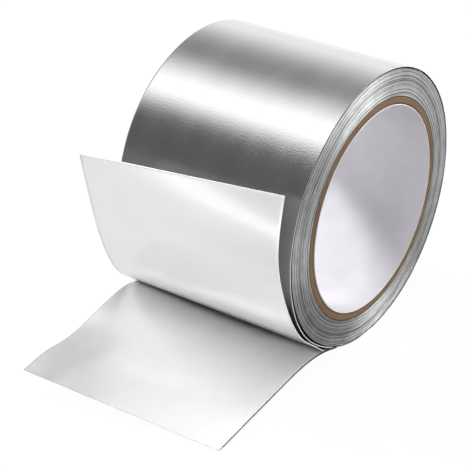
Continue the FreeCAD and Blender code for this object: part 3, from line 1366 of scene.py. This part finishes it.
@dataclass
class PeeledLiner:
    """The release liner: lies on the tail as far as the nip, then stands up beside the roll.

    Its front is the release side, which faces away from the roll, and its back faces the roll.

    Attributes:
        tape: the tape that it is peeled off.
        near_nip: run from the root to where its near edge leaves the tail.
        far_nip: the same for its far edge.
        wedge_run: run past the nip at which it is still held close to the tail.
        wedge_lift: height above the tail there.
        bend_share: where its bend ends, as a share of the way from there to its first station.
        near: angle and standoff from the roll of each station of its near edge.
        far: the same for its far edge.
        tucked: number of stations of the tail that it leaves free next to the root.
        clearance: gap between it and the tail that it lies on.
        burr: height of the burr along its edges.
        burr_width: distances from an edge between which the burr runs out.
        lying_rows: rows of the grid that lie on the tail.
        rows: rows of the grid that stand up.
        columns: columns of the grid across it.
    """

    tape: OuterTape
    near_nip: float = 4.0
    far_nip: float = 19.0
    wedge_run: float = 4.5
    wedge_lift: float = 0.45
    bend_share: float = 0.25
    near: tuple[tuple[float, float], ...] = ((50, 1.5), (75, 3.4), (97, 7.9), (116.6, 11.6))
    far: tuple[tuple[float, float], ...] = ((60, 6.8), (76, 9.7), (94, 14.1), (110.6, 23.8))
    tucked: int = 6
    clearance: float = 0.06
    burr: float = 0.2
    burr_width: tuple[float, float] = (0.1, 0.5)
    lying_rows: int = 39
    rows: int = 260
    columns: int = 110

    def lying(self, line: np.ndarray, seat: float, number: int) -> np.ndarray:
        """The stretch of one edge that lies on the tail, evenly divided.

        Args:
            line: (n, 2) x and z of the tail's edge, from the root on.
            seat: height of the liner's middle surface above the tail's.
            number: station of the tail at the nip.

        Returns:
            (lying_rows, 2) x and z, up to but without the nip.
        """
        bed = (line + self.upward(line) * seat)[self.tucked:number + 1]
        index = np.arange(self.lying_rows) / self.lying_rows * (len(bed) - 1)
        low = np.floor(index).astype(int)
        part = (index - low)[:, None]
        return bed[low] * (1 - part) + bed[low + 1] * part

    def edge(self, line: np.ndarray, nip: float, stations: np.ndarray) -> np.ndarray:
        """One long edge of the liner, from under the roll to its free end.

        It leaves the tail's direction at the nip, passes the wedge and the bend, and then the
        stations beside the roll.

        Args:
            line: (n, 2) x and z of the tail's edge, from the root on.
            nip: run from the root to the nip.
            stations: (n, 2) angles and standoffs beside the roll.

        Returns:
            (lying_rows + rows, 2) x and z.
        """
        sizes = self.tape.sizes
        seat = sizes.foil / 2 + self.clearance + sizes.liner / 2
        run = self.tape.root()[0] - line[:, 0]
        number, ahead = (int(np.searchsorted(run, place)) for place in (nip, nip + self.wedge_run))
        start = line[number] + self.upward(line)[number] * seat
        held = line[ahead] + self.upward(line)[ahead] * (seat + self.wedge_lift)
        upper = polar(stations[:, 0], sizes.outside + stations[:, 1])
        bend = held + (upper[0] - held) * self.bend_share
        slope = np.gradient(line, axis=0)[number]
        passed = np.concatenate([[start, held, bend], upper])
        shares = np.linspace(0, 1, self.rows)
        standing = spline_through(passed, shares, slope / np.linalg.norm(slope))
        return np.concatenate([self.lying(line, seat, number), standing])

    @staticmethod
    def upward(line: np.ndarray) -> np.ndarray:
        """Unit normals of a line that runs towards -X, on its upper side.

        Args:
            line: (n, 2) x and z of its points.

        Returns:
            (n, 2) x and z of the normals.
        """
        slope = np.gradient(line, axis=0)
        slope /= np.linalg.norm(slope, axis=1, keepdims=True)
        return np.stack([slope[:, 1], -slope[:, 0]], axis=-1)

    def middle(self) -> tuple[np.ndarray, np.ndarray]:
        """The liner's middle surface: a straight line across between its two edges.

        Returns:
            (rows, columns, 3) points in millimetres, and (rows,) lengths along it.
        """
        width = self.tape.sizes.width
        tail = self.tape.tail_middle(np.linspace(0, 1, 400), np.array([0.0, 1.0]))
        near = self.edge(tail[:, 0], self.near_nip, np.array(self.near))
        far = self.edge(tail[:, 1], self.far_nip, np.array(self.far))
        across = across_shares(self.columns, width)
        weight = across[None, :, None]
        plane = near[:, None, :] * (1 - weight) + far[:, None, :] * weight
        steps = np.linalg.norm(np.diff(plane[:, self.columns // 2], axis=0), axis=1)
        along = np.concatenate([[0], np.cumsum(steps)])
        place = np.broadcast_to((across - 0.5) * width, plane.shape[:2])
        return np.stack([plane[..., 0], place, plane[..., 1]], axis=-1), along

    def build(self) -> bpy.types.Object:
        """Make the liner and dress its release side, its back, which is painted dark as shade, and its
        edges.

        Returns:
            The piece.
        """
        middle, along = self.middle()
        across = across_shares(self.columns, self.tape.sizes.width)
        from_side = np.minimum(across, 1 - across) * self.tape.sizes.width
        from_edge = np.minimum(from_side[None, :], (along[-1] - along)[:, None])
        burr = self.burr * (1 - ease(from_edge, *self.burr_width)) * ease(along, 12.0, 20.0)[:, None]
        shell = sheet_shell(middle, self.tape.sizes.liner, along, np.stack([0 * burr, burr]))
        finishes = [
            # The back is dark grey: painted shade of the gap between the liner and the roll, which the
            # foil mirrors.
            ReleasePaper("painted_shade_liner_back", (0.20, 0.203, 0.20), 0.45, through=0.01).material(),
            ReleasePaper("release_side", (0.93, 0.935, 0.935), 0.36, coat=1.0).material(),
            CutPaper("liner_edge", (0.97, 0.97, 0.96)).material(),
        ]
        return shell.make("peeled_liner", Slot.LINER, finishes, "release_liner")


# ---------------------------------------------------------------- the core


@dataclass
class BoardTube:
    """The spiral-wound board core, its plies showing on both ends.

    Attributes:
        sizes: sizes of the roll.
        plies: number of plies in the wall.
        crown_places: points across one ply's end, as shares of its thickness.
        crown: height of the end at each of them.
        recess: how far the ends lie inside the tape's edges.
        ragged: how far one ply's end stands off another's.
        waves: height of each low wave on its ends, and its number round the core; below 0 it
            turns the other way.
        seeds: seeds of the random draws for the near end and the far end.
        rows: rows of the grid, round the core.
    """

    sizes: RollSizes
    plies: int = 6
    crown_places: tuple[float, ...] = (0.04, 0.2, 0.5, 0.8, 0.96)
    crown: tuple[float, ...] = (-0.05, 0.0, 0.015, 0.0, -0.05)
    recess: float = 0.06
    ragged: float = 0.03
    waves: tuple[tuple[float, int], ...] = ((0.02, 2), (0.012, -5))
    seeds: tuple[int, int] = (21, 22)
    rows: int = 240

    def end_heights(self, angle: np.ndarray, seed: int) -> np.ndarray:
        """Distance of one end from the roll's middle, at each angle and point across the wall.

        Each ply's end is crowned and stands at a height of its own, and two low waves with
        whole numbers of periods run round it.

        Args:
            angle: (rows,) degrees round the core.
            seed: seed of the random draw.

        Returns:
            (rows, points) distances in millimetres.
        """
        draw = np.random.default_rng(seed)
        points = len(self.crown)
        own = np.repeat(draw.normal(0, self.ragged, self.plies), points)
        turn = np.radians(angle)[:, None]
        phase = np.repeat(draw.random(self.plies) * 6.3, points)
        wave = sum(height * np.cos(number * turn + phase[None, :]) for height, number in self.waves)
        return self.sizes.width / 2 - self.recess + np.tile(self.crown, self.plies) + own + wave

    def build(self) -> bpy.types.Object:
        """Make the tube from its profile, each ply end crowned and each joint a fine groove.

        Returns:
            The piece.
        """
        sizes = self.sizes
        angle = np.arange(self.rows) * 360 / self.rows
        inside, outside = sizes.board_inside + HAIR, sizes.board_outside - HAIR
        share = ((np.arange(self.plies)[:, None] + self.crown_places) / self.plies).ravel()
        radius = inside + (outside - inside) * share
        ends = [self.end_heights(angle, seed) for seed in self.seeds]
        wall = np.linspace(-0.48, 0.48, 13) * sizes.width
        profile_radius = np.concatenate(
            [radius, np.full(len(wall), outside), radius[::-1], np.full(len(wall), inside)]
        )
        profile_height = np.concatenate(
            [
                -ends[0] - sizes.pushed,
                np.broadcast_to(wall, (self.rows, len(wall))),
                ends[1][:, ::-1] - sizes.pushed,
                np.broadcast_to(wall[::-1], (self.rows, len(wall))),
            ],
            axis=1,
        )
        profile_radius = np.broadcast_to(profile_radius, profile_height.shape)
        finishes = np.zeros(profile_radius.shape[1], dtype=int)
        shell = turned_shell(profile_radius, profile_height, angle[:, None], finishes)
        board = KraftBoard(sizes.board_inside, sizes.board_outside).material()
        return shell.make("board_tube", Slot.BOARD, [board], "core_tube", 60.0)


@dataclass
class BoreLining:
    """The white paper that lines the bore, wound as a helix whose edge shows as a seam.

    Attributes:
        sizes: sizes of the roll.
        seam_angle: angle of the seam at the near end.
        seam_turn: degrees that the seam turns in each millimetre along the roll.
        seam_step: height of the paper's edge at the seam.
        seam_width: width of that edge, in degrees.
        seam_fade: degrees past the seam over which the step fades out.
        rim: radii of the rim's rounded points, counted from the bore.
        rim_bulge: how far those points stand out of the roll's ends.
        rows: rows of the grid, round the bore.
        columns: columns of the grid, along the bore.
        back_step: number of columns for each one on the outside of the lining.
    """

    sizes: RollSizes
    seam_angle: float = -65.0
    seam_turn: float = 2.29
    seam_step: float = 0.1
    seam_width: float = 0.35
    seam_fade: float = 50.0
    rim: tuple[float, ...] = (0.03, 0.17, 0.33)
    rim_bulge: tuple[float, ...] = (0.12, 0.2, 0.1)
    rows: int = 300
    columns: int = 110
    back_step: int = 8

    def build(self) -> bpy.types.Object:
        """Make the lining: a tube with a fine helical step inside and softly rounded rims.

        The rows of the grid follow the helix, so that the step is sharp.

        Returns:
            The piece.
        """
        sizes = self.sizes
        close = np.arange(-2, 3) * self.seam_width
        past = np.concatenate([close, np.linspace(1.8, 358.2, self.rows - len(close))])
        place = np.linspace(0.5, -0.5, self.columns) * (sizes.width + 0.1)
        before = (past + 180) % 360 - 180
        rise = ease(before, -self.seam_width, 0.0) - ease(before, 0.0, self.seam_fade)
        inner = sizes.bore + 2 * HAIR - self.seam_step * rise[:, None] + 0 * place[None, :]
        rim = np.broadcast_to(sizes.bore + np.array(self.rim), (self.rows, len(self.rim)))
        back = place[::-1][::self.back_step]
        outer = np.full((self.rows, len(back)), sizes.board_inside)
        bulge = sizes.width / 2 + np.array(self.rim_bulge)
        height = np.concatenate([place, -bulge, back, bulge[::-1]]) - sizes.pushed
        radius = np.concatenate([inner, rim, outer, rim[:, ::-1]], axis=1)
        angle = past[:, None] + self.seam_angle + self.seam_turn * (height[None, :] + sizes.width / 2)
        finishes = np.zeros(radius.shape[1], dtype=int)
        rim_quads = len(self.rim) + 1
        finishes[self.columns - 1:self.columns - 1 + rim_quads] = 1
        finishes[-rim_quads:] = 1
        shell = turned_shell(radius, np.broadcast_to(height, radius.shape), angle, finishes)
        materials = [LiningPaper().material(), CutPaper("lining_edge", (0.97, 0.93, 0.88)).material()]
        return shell.make("bore_lining", Slot.LINING, materials, "core_lining", 60.0)


# ---------------------------------------------------------------- studio


@dataclass(frozen=True)
class Softbox:
    """A soft lamp: a rectangle that faces a point near the roll.

    Attributes:
        name: its name.
        place: its middle, in metres.
        aim: the point that it faces, in metres.
        size: its width and height, in metres.
        glow: its radiance; 1 is as bright as the white backdrop.
        lights: whether it lights matt faces.
        mirrored: whether glossy faces show it.
    """

    name: str
    place: tuple[float, float, float]
    aim: tuple[float, float, float]
    size: tuple[float, float]
    glow: float
    lights: bool
    mirrored: bool

    def hang(self) -> None:
        """Put the lamp in the scene, its power being 4 * radiance * area."""
        lamp = bpy.data.lights.new(self.name, "AREA")
        lamp.shape = "RECTANGLE"
        lamp.size, lamp.size_y = self.size
        lamp.energy = 4 * self.glow * self.size[0] * self.size[1]
        holder = bpy.data.objects.new(self.name, lamp)
        away = Vector(self.place) - Vector(self.aim)
        turned = away.to_track_quat("Z", "Y").to_matrix().to_4x4()
        holder.matrix_world = Matrix.Translation(self.place) @ turned
        holder.visible_camera = False
        holder.visible_diffuse = self.lights
        holder.visible_glossy = self.mirrored
        bpy.context.scene.collection.objects.link(holder)


@dataclass(frozen=True)
class StudioArch:
    """The arch of panels over the roll that its foil mirrors.

    The arch is part of a tube about the roll's axis. Its tone depends only on the angle round
    that axis, so each band runs along the roll: a pale skirting, a dark wall, a white window, a
    grey gap and a pale ceiling. Only glossy faces show it.

    Attributes:
        radius: distance from the axis, in metres.
        ends: where it begins and ends along the axis, in metres.
        first: angle where it begins, in degrees from straight down towards -X.
        last: angle where it ends.
        rows: rows of its mesh.
        stops: colour stops that carry its tone.
        skirting: tone at its foot, where 1 is as bright as the white backdrop.
        skirting_fall: angles between which the skirting fades into the dark wall.
        dark: tone of the dark wall.
        window: tone added at the window's brightest line.
        window_rise: angles between which the window grows to its brightest.
        window_fall: angles between which it fades again.
        grey: tone of the gap.
        ceiling: tone at the ceiling's end.
        ceiling_rise: angles between which the ceiling grows out of the gap.
    """

    radius: float = 1.5
    ends: tuple[float, float] = (-0.3, 3.5)
    first: float = 84.0
    last: float = 262.0
    rows: int = 80
    stops: int = 30
    skirting: float = 0.16
    skirting_fall: tuple[float, float] = (98.0, 110.0)
    dark: float = 0.09
    window: float = 1.25
    window_rise: tuple[float, float] = (140.5, 162.0)
    window_fall: tuple[float, float] = (161.0, 202.0)
    grey: float = 0.22
    ceiling: float = 0.95
    ceiling_rise: tuple[float, float] = (207.0, 260.0)

    def tone(self, angle: np.ndarray) -> np.ndarray:
        """Tone of the arch: the skirting, window, gap and ceiling eased in over the dark.

        Args:
            angle: degrees from straight down towards -X.

        Returns:
            The tone at each angle.
        """
        skirting = (self.skirting - self.dark) * (1 - ease(angle, *self.skirting_fall))
        window = self.window * ease(angle, *self.window_rise) * (1 - ease(angle, *self.window_fall))
        gap = (self.grey - self.dark) * ease(angle, *self.window_fall)
        ceiling = (self.ceiling - self.grey) * ease(angle, *self.ceiling_rise)
        return self.dark + skirting + window + gap + ceiling

    def hang(self) -> None:
        """Make the arch, its UV running from 0 to 1 over its angles, and its graded glow."""
        share = np.linspace(0, 1, self.rows)
        plane = polar(self.first + (self.last - self.first) * share, np.full(self.rows, self.radius))
        ends = np.array(self.ends)
        corners = np.broadcast_arrays(plane[:, None, 0], ends[None, :], plane[:, None, 1])
        points = np.stack(corners, axis=-1)
        quads = grid_quads(self.rows, 2, False, False)
        mesh = bpy.data.meshes.new("studio_arch")
        mesh.from_pydata(points.reshape(-1, 3).tolist(), [], quads.tolist())
        layer = mesh.uv_layers.new(name="unrolled")
        flat = np.stack([np.repeat(share, 2), np.tile([0.0, 1.0], self.rows)], axis=-1)
        layer.data.foreach_set("uv", flat[quads.ravel()].astype(np.float32).ravel())
        arch = bpy.data.objects.new("studio_arch", mesh)
        bpy.context.scene.collection.objects.link(arch)
        recipe = Recipe("studio_arch")
        split = recipe.node("ShaderNodeSeparateXYZ", {0: recipe.unrolled_place()})
        places = np.linspace(0, 1, self.stops)
        tones = self.tone(self.first + (self.last - self.first) * places)
        brightest = float(tones.max())
        stops = [(float(p), (float(t) / brightest,) * 3) for p, t in zip(places, tones)]
        tone = recipe.colours(split.outputs[0], stops)
        glow = recipe.node("ShaderNodeEmission", {"Color": tone, "Strength": brightest})
        recipe.tree.links.new(glow.outputs[0], recipe.output.inputs[0])
        mesh.materials.append(recipe.material)
        arch.visible_camera = False
        arch.visible_diffuse = False
        arch.visible_shadow = False


@dataclass
class Studio:
    """Floor, sky, soft lamps and the arch that the foil mirrors.

    Attributes:
        sizes: sizes of the roll.
        sky: upward shares of a direction between which the sky's light grows from 0 to 1.
        floor_white: how far the floor that the camera sees fades into the white backdrop.
        floor_glow: brightness of that white.
        floor_span: half the width of the floor, in metres.
        shadow_middle: x and y of the middle of the shadow that glossy faces see, in metres.
        shadow_fade: distances from it between which that shadow fades, in metres.
        shadow_tones: tone of the mirrored floor in the shadow's middle and beyond its edge.
        left_fade: x between which the mirrored floor darkens to the left, in metres.
        mirrored_left: its share of the tone far left.
        mirrored_front: tone of the mirrored sky in front and straight along the axis.
        spot: direction of the bright spot that glossy faces see.
        spot_fade: degrees from that direction between which the spot fades.
        spot_tone: brightness of the spot.
        arch: the arch over the roll.
        lamps: the soft lamps.
    """

    sizes: RollSizes
    sky: tuple[float, float] = (0.12, 0.6)
    floor_white: float = 0.93
    floor_glow: float = 1.04
    floor_span: float = 30.0
    shadow_middle: tuple[float, float] = (-0.01, -0.04)
    shadow_fade: tuple[float, float] = (0.02, 0.1)
    shadow_tones: tuple[float, float] = (0.2, 0.58)
    left_fade: tuple[float, float] = (-0.19, -0.30)
    mirrored_left: float = 0.1
    mirrored_front: float = 0.3
    spot: tuple[float, float, float] = (0.61, -0.78, 0.14)
    spot_fade: tuple[float, float] = (8.0, 24.0)
    spot_tone: float = 3.4
    arch: StudioArch = StudioArch()
    lamps: tuple[Softbox, ...] = (
        Softbox("key_softbox", (-0.06, 1.2, 1.2), (0.0, 0.0, 0.0), (0.24, 0.24), 180.0, True, False),
        Softbox("fill_softbox", (-0.3, -0.05, 1.26), (0.0, 0.0, 0.0), (0.5, 1.0), 4.15, True, True),
        Softbox("front_softbox", (1.1, -1.0, 0.1), (0.0, 0.0, 0.0), (0.8, 0.8), 10.5, True, False),
        Softbox("far_softbox", (-1.0, 1.1, 0.1), (0.0, 0.0, 0.0), (0.8, 0.25), 11.0, True, False),
        Softbox("side_softbox", (-1.3, -0.2, 0.5), (0.0, 0.0, 0.0), (0.7, 0.7), 0.6, True, False),
        Softbox("low_bar", (-0.15, 0.02, -0.013), (-0.06, 0.0, 0.0), (0.09, 0.018), 2.2, False, True),
        Softbox("top_panel", (0.72, -0.1, 1.2), (0.0, 0.0, 0.0), (0.6, 0.7), 2.6, False, True),
    )

    def hang_sky(self) -> None:
        """The world: white as a backdrop, graded as light, and what glossy faces see of it.

        As light it grows from the horizon to the top. Glossy faces see it white behind the roll,
        grey in front and straight along the axis, with one bright spot low in front.
        """
        world = bpy.data.worlds.new("white_studio")
        bpy.context.scene.world = world
        recipe = Recipe.of_world(world)
        way = recipe.node("ShaderNodeTexCoord", {}).outputs["Generated"]
        split = recipe.node("ShaderNodeSeparateXYZ", {0: way})
        path = recipe.node("ShaderNodeLightPath", {})
        light = recipe.spread(split.outputs["Z"], *self.sky, 0.0, 1.0)
        behind = recipe.spread(split.outputs["Y"], self.mirrored_front, 1.0, -0.1, 0.2)
        along = recipe.spread(split.outputs["Y"], 1.0, self.mirrored_front, 0.8, 0.93)
        toward = Vector(self.spot).normalized()
        aim = recipe.node("ShaderNodeVectorMath", {0: way, 1: toward}, operation="DOT_PRODUCT")
        near, far = (math.cos(math.radians(x)) for x in self.spot_fade)
        spot = recipe.spread(aim.outputs["Value"], 0.0, self.spot_tone, far, near)
        mirrored = recipe.maths("ADD", recipe.maths("MULTIPLY", behind, along), spot)
        backdrop = recipe.backdrop_ray(path)
        glossy = path.outputs["Is Glossy Ray"]
        level = recipe.node("ShaderNodeMix", {0: glossy, 2: light, 3: mirrored}).outputs[0]
        level = recipe.node("ShaderNodeMix", {0: backdrop, 2: level, 3: 1.0}).outputs[0]
        white = recipe.node("ShaderNodeBackground", {"Strength": level})
        recipe.tree.links.new(white.outputs[0], recipe.output.inputs[0])

    def lay_floor(self) -> None:
        """A wide pale floor that fades into the backdrop and keeps a soft shadow.

        It lies a hair's breadth under the roll. Glossy faces show it white behind the roll, grey
        in the shadow in front of it, and dark far left.
        """
        span = self.floor_span
        height = (self.sizes.floor - 2 * HAIR) * MM
        corners = [(x * span, y * span, height) for x, y in ((-1, -1), (1, -1), (1, 1), (-1, 1))]
        mesh = bpy.data.meshes.new("floor")
        mesh.from_pydata(corners, [], [(0, 1, 2, 3)])
        floor = bpy.data.objects.new("floor", mesh)
        bpy.context.scene.collection.objects.link(floor)
        recipe = Recipe("pale_floor")
        recipe.dress(Base_Color=(0.4, 0.4, 0.4), Roughness=0.9, Specular_IOR_Level=0.0)
        path = recipe.node("ShaderNodeLightPath", {})
        place = recipe.object_place()
        middle = (*self.shadow_middle, height)
        away = recipe.node("ShaderNodeVectorMath", {0: place, 1: middle}, operation="DISTANCE")
        front = recipe.spread(away.outputs["Value"], *self.shadow_tones, *self.shadow_fade)
        split = recipe.node("ShaderNodeSeparateXYZ", {0: place})
        behind = recipe.spread(split.outputs["Y"], 0.0, 1.0, -0.03, 0.03)
        left = recipe.spread(split.outputs["X"], 1.0, self.mirrored_left, *self.left_fade)
        pool = recipe.maths("MULTIPLY", recipe.maths("MAXIMUM", front, behind), left)
        backdrop = recipe.backdrop_ray(path)
        share = recipe.maths("MULTIPLY", backdrop, self.floor_white)
        share = recipe.maths("MAXIMUM", share, path.outputs["Is Glossy Ray"])
        glossy = recipe.maths("MULTIPLY", path.outputs["Is Glossy Ray"], pool)
        tone = recipe.maths("MULTIPLY", backdrop, self.floor_glow)
        white = recipe.node("ShaderNodeEmission", {"Strength": recipe.maths("ADD", tone, glossy)})
        mix = recipe.node(
            "ShaderNodeMixShader", {0: share, 1: recipe.shader.outputs[0], 2: white.outputs[0]}
        )
        recipe.tree.links.new(mix.outputs[0], recipe.output.inputs[0])
        mesh.materials.append(recipe.material)

    def build(self) -> None:
        """Set up the whole studio."""
        self.hang_sky()
        self.lay_floor()
        self.arch.hang()
        for lamp in self.lamps:
            lamp.hang()


@dataclass(frozen=True)
class CameraStand:
    """The camera, by where it stands round the roll and what it aims past.

    Attributes:
        azimuth: degrees round the vertical, 0 looking along +Y.
        elevation: degrees above the horizon.
        roll: degrees that the camera is turned about its own axis.
        distance: metres from the roll's middle, along the view.
        aside: metres that it stands to its left of the roll's middle.
        below: metres that it stands below the roll's middle, across the view.
        lens: focal length for a 36 mm wide sensor, in millimetres.
    """

    azimuth: float = -53.956
    elevation: float = 28.823
    roll: float = 1.0
    distance: float = 0.52115
    aside: float = 0.01941
    below: float = 0.0202
    lens: float = 107.645

    def build(self) -> None:
        """Put the camera in the scene and make it the one in use."""
        azimuth, elevation, roll = (math.radians(x) for x in (self.azimuth, self.elevation, self.roll))
        level = math.cos(elevation)
        back = np.array([math.sin(azimuth) * level, -math.cos(azimuth) * level, math.sin(elevation)])
        right = np.array([math.cos(azimuth), math.sin(azimuth), 0.0])
        up = np.cross(back, right)
        turned_right = math.cos(roll) * right + math.sin(roll) * up
        turned_up = math.cos(roll) * up - math.sin(roll) * right
        place = back * self.distance - turned_right * self.aside - turned_up * self.below
        rows = np.column_stack([turned_right, turned_up, back, place])
        data = bpy.data.cameras.new("camera")
        data.lens = self.lens
        data.sensor_width = 36.0
        data.clip_start = 0.01
        camera = bpy.data.objects.new("camera", data)
        camera.matrix_world = Matrix([*rows.tolist(), [0.0, 0.0, 0.0, 1.0]])
        bpy.context.scene.collection.objects.link(camera)
        bpy.context.scene.camera = camera


def main() -> None:
    """Build the roll, the studio and the camera."""
    logging.basicConfig(level=logging.INFO, format="%(name)s: %(message)s")
    sizes = RollSizes.from_frame()
    LOG.info("sizes: %s", sizes)
    tape = OuterTape(sizes)
    for maker in (tape, WoundTurns(sizes), PeeledLiner(tape), BoardTube(sizes), BoreLining(sizes)):
        maker.build()
    Studio(sizes).build()
    CameraStand().build()
    bpy.context.scene.view_settings.view_transform = "Standard"


if __name__ == "__main__":
    main()
